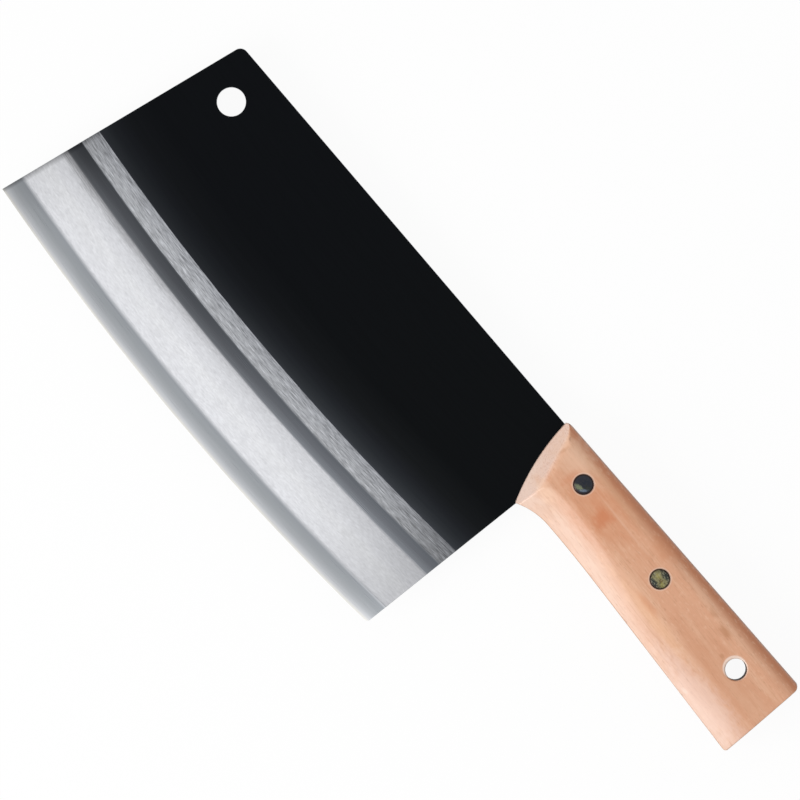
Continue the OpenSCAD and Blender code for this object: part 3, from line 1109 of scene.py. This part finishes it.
def fitted(tree, place, degrees, size):
    """Object coordinates from a place, turned and counted in steps of a size."""
    return node(tree, "Mapping", {
        "Vector": node(tree, "TexCoord").outputs["Object"], "Location": place,
        "Rotation": (0, 0, math.radians(degrees)), "Scale": size}, vector_type="TEXTURE")


def grain_noise(tree, length, width, seed, detail=2.0, distortion=0.0):
    """Noise drawn out along the grain, its patches of a length and width in millimetres."""
    place = fitted(tree, (seed, seed / 3, 0), grain_degrees, (length * mm, width * mm, width * mm))
    return node(tree, "TexNoise", {"Vector": place, "Scale": 1.0, "Detail": detail,
                                   "Distortion": distortion})


def oval(tree, point, length=2, width=2, degrees=grain_degrees):
    """Distance from the middle of an oval of a length and width in mm, with 1 on its border.

    Unless a size is given, that is the distance from the point in mm."""
    place = fitted(tree, (point.x, point.y, 0), degrees, (length / 2 * mm, width / 2 * mm, 1.0))
    return node(tree, "VectorMath", {0: place}, operation="LENGTH")


# %% Wood: the material of a scale
wood_colour = "#DAA17E"
warm = "#CB7F50"
orange = "#C97442"
brown = "#B07345"
pale_wood = "#F6E3D6"
rim_level = 0.3


def hardwood(name, seed, marks):
    """Sanded and oiled hardwood. A mark is how far it lies behind the front and below the spine
    side, its length and width, its colour and its strength."""
    material, tree, shader = new_material(name)
    facing = node(tree, "SeparateXYZ", {0: node(tree, "TexCoord").outputs["Normal"]}).outputs
    level = node(tree, "Math", {0: facing["Z"]}, operation="ABSOLUTE")
    from_rim = node(tree, "Math", {0: level, 1: rim_level}, operation="SUBTRACT")
    off_rim = node(tree, "Math", {0: from_rim}, operation="ABSOLUTE")
    fibres = grain_noise(tree, 12, 0.5, seed + 11, 3.0)
    wander = grain_noise(tree, 3, 1.5, seed + 17, 3.0)
    coats = [(grain_noise(tree, 45, 4, seed + 3, 3.0, 0.6), 0.42, 0.68, 0.65, "#E4B493"),
             (grain_noise(tree, 30, 6, seed + 5, 2.0, 0.4), 0.48, 0.72, 0.5, "#CE906A"),
             (grain_noise(tree, 7, 3, seed + 7), 0.5, 0.75, 0.35, "#D08F68"),
             # By the way the surface faces, painted light and shade: the lower side paler as a painted
             # sheen, the belly's eased edge and the spine side darker as painted shade with the upright
             # spine side brought back nearer the wood's tone, the butt darker as end grain and painted
             # shade, and the front chamfer pale as painted light
             (facing["Y"], 0.0, -0.38, 0.35, "#DEB9A2"),
             (facing["Y"], -0.36, -0.52, 0.7, "#DDBBA6"),
             (facing["Y"], -0.6, -0.85, 0.7, "#D09B77"),
             (facing["Y"], 0.2, 0.65, 0.95, "#C07445"),
             (facing["Y"], 0.93, 0.99, 0.75, "#CF9570"),
             (facing["X"], 0.5, 0.9, 0.5, "#B98562"),
             (facing["X"], -0.35, -0.74, 0.85, "#F1D3C4"),
             # A painted shade along the rims, where the surface turns away from the face
             (off_rim, 0.3, 0.12, 0.5, "#5E463A"),
             (fibres, 0.48, 0.72, 0.34, "#BE845E"),
             (grain_noise(tree, 2.5, 0.45, seed + 13), 0.58, 0.74, 0.4, "#B07A56"),
             (grain_noise(tree, 2.0, 0.8, seed + 15), 0.55, 0.7, 0.3, "#EBBFA0")]
    for along, down, length, width, colour, mark_strength in marks:
        distance = oval(tree, from_handle_front(along, down), length, width)
        coats.append((wavering(tree, distance, wander, 0.25), 1.25, 0.25, mark_strength, colour))
    # Round each rivet head: a pale ring that is a painted highlight on the lip, and a dark ring in the
    # rounded rim, partly dirt and partly painted shade in the gap
    for place in rivet_places.values():
        distance = oval(tree, place)
        coats += [(distance, 4.25, 3.95, 0.25, pale_wood), (distance, 3.85, 3.68, 0.6, "#5A3A2C")]
    # A pale crescent on the lip of the hanging hole, on the lit side: a painted highlight
    lip = handle_hole + Vector((-0.75 * mm, 0.1 * mm))
    coats.append((oval(tree, lip), 4.5, 3.9, 0.7, pale_wood))
    finish_surface(tree, shader, painted(tree, wood_colour, coats), spread(tree, fibres, 0.42, 0.54),
                   (fibres, 0.35, 0.02), {"Coat Weight": 0.6, "Coat Roughness": 0.32})
    return material


left_marks = [(32, 12, 36, 24, warm, 0.4), (33.3, 13.1, 8, 9, orange, 0.75), (31, 3.5, 14, 7, warm, 0.3),
              (11, 7, 18, 14, "#E6BDA0", 0.55), (15.6, 12, 4, 9, orange, 0.3),
              (3.5, 22, 8, 14, pale_wood, 0.3), (1.5, 28, 7, 9, pale_wood, 0.45),
              (54.6, 4.1, 14, 6, warm, 0.5), (66.4, 21, 13, 3, warm, 0.5), (90.7, 7, 7, 3.2, brown, 0.6),
              (83, 5.7, 5, 2.5, brown, 0.35), (96.1, 13.3, 2.4, 1.8, brown, 0.6),
              (90, 23.4, 4, 1.6, brown, 0.3), (103, 18, 60, 16, "#CB8E68", 0.45),
              (10, 21, 7, 3, warm, 0.25), (9, 28, 18, 11, "#F6DFD2", 0.35), (6.8, 8, 1.6, 5, brown, 0.35),
              # The thin pale line 9 mm below the spine side is a painted highlight where the round-over
              # begins
              (39, 9.1, 36, 0.9, "#EFCBB2", 0.22), (96.9, 30.9, 3, 1.6, "#FFF0E2", 0.3),
              (27, 4.3, 46, 3.2, "#E4B590", 0.35), (72, 23, 56, 5, "#F7C79C", 0.3),
              (27, 10.5, 8, 7, orange, 0.25), (13, 21.5, 14, 6.5, "#F9D6BA", 0.4),
              (104, 28.5, 56, 13, "#F3D6CA", 0.4)]
right_marks = [(24, 17, 11, 6, warm, 0.5), (48, 6, 16, 7, warm, 0.4), (71, 18, 7, 4, brown, 0.4),
               (88, 9, 18, 6, warm, 0.45), (104, 22, 30, 8, "#CB8E68", 0.4),
               # The last mark, a thin pale line, is a painted highlight where the round-over begins
               (60, 12.5, 3, 1.6, brown, 0.5), (35, 9.5, 44, 0.6, pale_wood, 0.4)]


def shaded_end_grain():
    """The bare wall of a hole: end grain, painted dark for the shade inside the hole, without any sheen.
    """
    material, tree, shader = new_material("shaded_end_grain")
    specks = grain_noise(tree, 1.0, 1.0, 2.0, 3.0)
    feed(tree, shader, {"Base Color": painted(tree, "#9C8474", [(specks, 0.4, 0.7, 0.5, "#6E5A4E")]),
                        "Roughness": spread(tree, specks, 0.8, 0.95), "Specular IOR Level": 0.0})
    return material


def in_hook_hole(face):
    """True for the upright wall of the hanging hole."""
    place = face.calc_center_median()
    return (place.xy - handle_hole).length < handle_hole_r + 0.05 * mm and abs(face.normal.z) < 0.3


hole_wall = shaded_end_grain()
scale_meshes = {"left_scale": (scale, hardwood("oiled_hardwood_left", 0.0, left_marks)),
                "right_scale": (other_scale, hardwood("oiled_hardwood_right", 40.0, right_marks))}
for name, (bm, hardwood_finish) in scale_meshes.items():
    for face in bm.faces:
        face.material_index = 1 if in_hook_hole(face) else 0
    finish_piece(name, bm, [hardwood_finish, hole_wall], name)

# %% [markdown]
# ## Finish of the rivets
# The rivets are brass, and their heads have gone dark with oil and tarnish. The front one is nearly
# black and glossy, with an olive and a bluish glint painted into its colour as highlights. The middle
# one is worn bare in a ragged oval along the handle. The rim of each head is painted dark, partly dirt
# and partly painted shade where the head rounds down into its hole.

# %% Rivets
def tarnished_brass(name, place, tarnish, bare, patches, seed):
    """Brass under dark tarnish, with specks of barer metal. A patch is its offset from the middle of
    the head, its length, width and turn, its colour and its strength."""
    material, tree, shader = new_material(name)
    blotches = grain_noise(tree, 1.3, 1.0, seed, 4.0)
    coats = []
    for right, up, length, width, degrees, colour, patch_strength in patches:
        distance = oval(tree, place + Vector((right * mm, up * mm)), length, width, degrees)
        coats.append((wavering(tree, distance, blotches, 0.3), 1.3, 0.5, patch_strength, colour))
    # The last coat darkens the rim of the head: partly dirt, partly painted shade where the head rounds
    # down
    coats += [(grain_noise(tree, 0.7, 0.5, seed + 5, 3.0), 0.5, 0.66, 0.55, bare),
              (grain_noise(tree, 0.9, 0.6, seed + 9, 3.0), 0.52, 0.68, 0.6, tarnish),
              (oval(tree, place), 2.8, 3.4, 0.85, "#33211C")]
    finish_surface(tree, shader, painted(tree, tarnish, coats), spread(tree, blotches, 0.22, 0.4),
                   (blotches, 0.6, 0.05), bare_metal)
    return material


rivet_finishes = {
    "front": tarnished_brass("dark_tarnished_brass", rivet_places["front"], "#33343A", "#41403F",
                             [(0.2, 0.6, 5.0, 3.0, 50, "#2A2F36", 0.6),
                              # The olive and the bluish patch are painted highlights, glints on the lower
                              # side of the head
                              (-0.2, -1.8, 3.6, 1.6, 15, "#8A9070", 0.65),
                              (1.65, -1.3, 3.0, 1.0, 50, "#8493A6", 0.6),
                              (2.0, 0.2, 3.0, 1.8, 50, "#33382F", 0.6)], 1.3),
    "middle": tarnished_brass("worn_brass", rivet_places["middle"], "#3B3A36", "#A29F86",
                              [(0, 0, 7.2, 5.0, 0, "#857F5C", 1.0), (-1.2, 0.2, 2, 1.6, 0, "#9A9055", 0.6),
                               (0.7, -0.2, 1.5, 1.2, 0, "#5F4A1C", 0.9),
                               (2.0, -0.8, 2.2, 1.8, 0, "#8E8850", 0.7),
                               (-0.4, -2.4, 3.6, 2.0, 0, "#2C3335", 0.85),
                               (0.7, 2.3, 4, 2.2, 0, "#2C3335", 0.85)], 4.1)}
for name, bm in rivet_halves.items():
    finish_piece(name, bm, [rivet_finishes[name.split("_")[0]]], name)
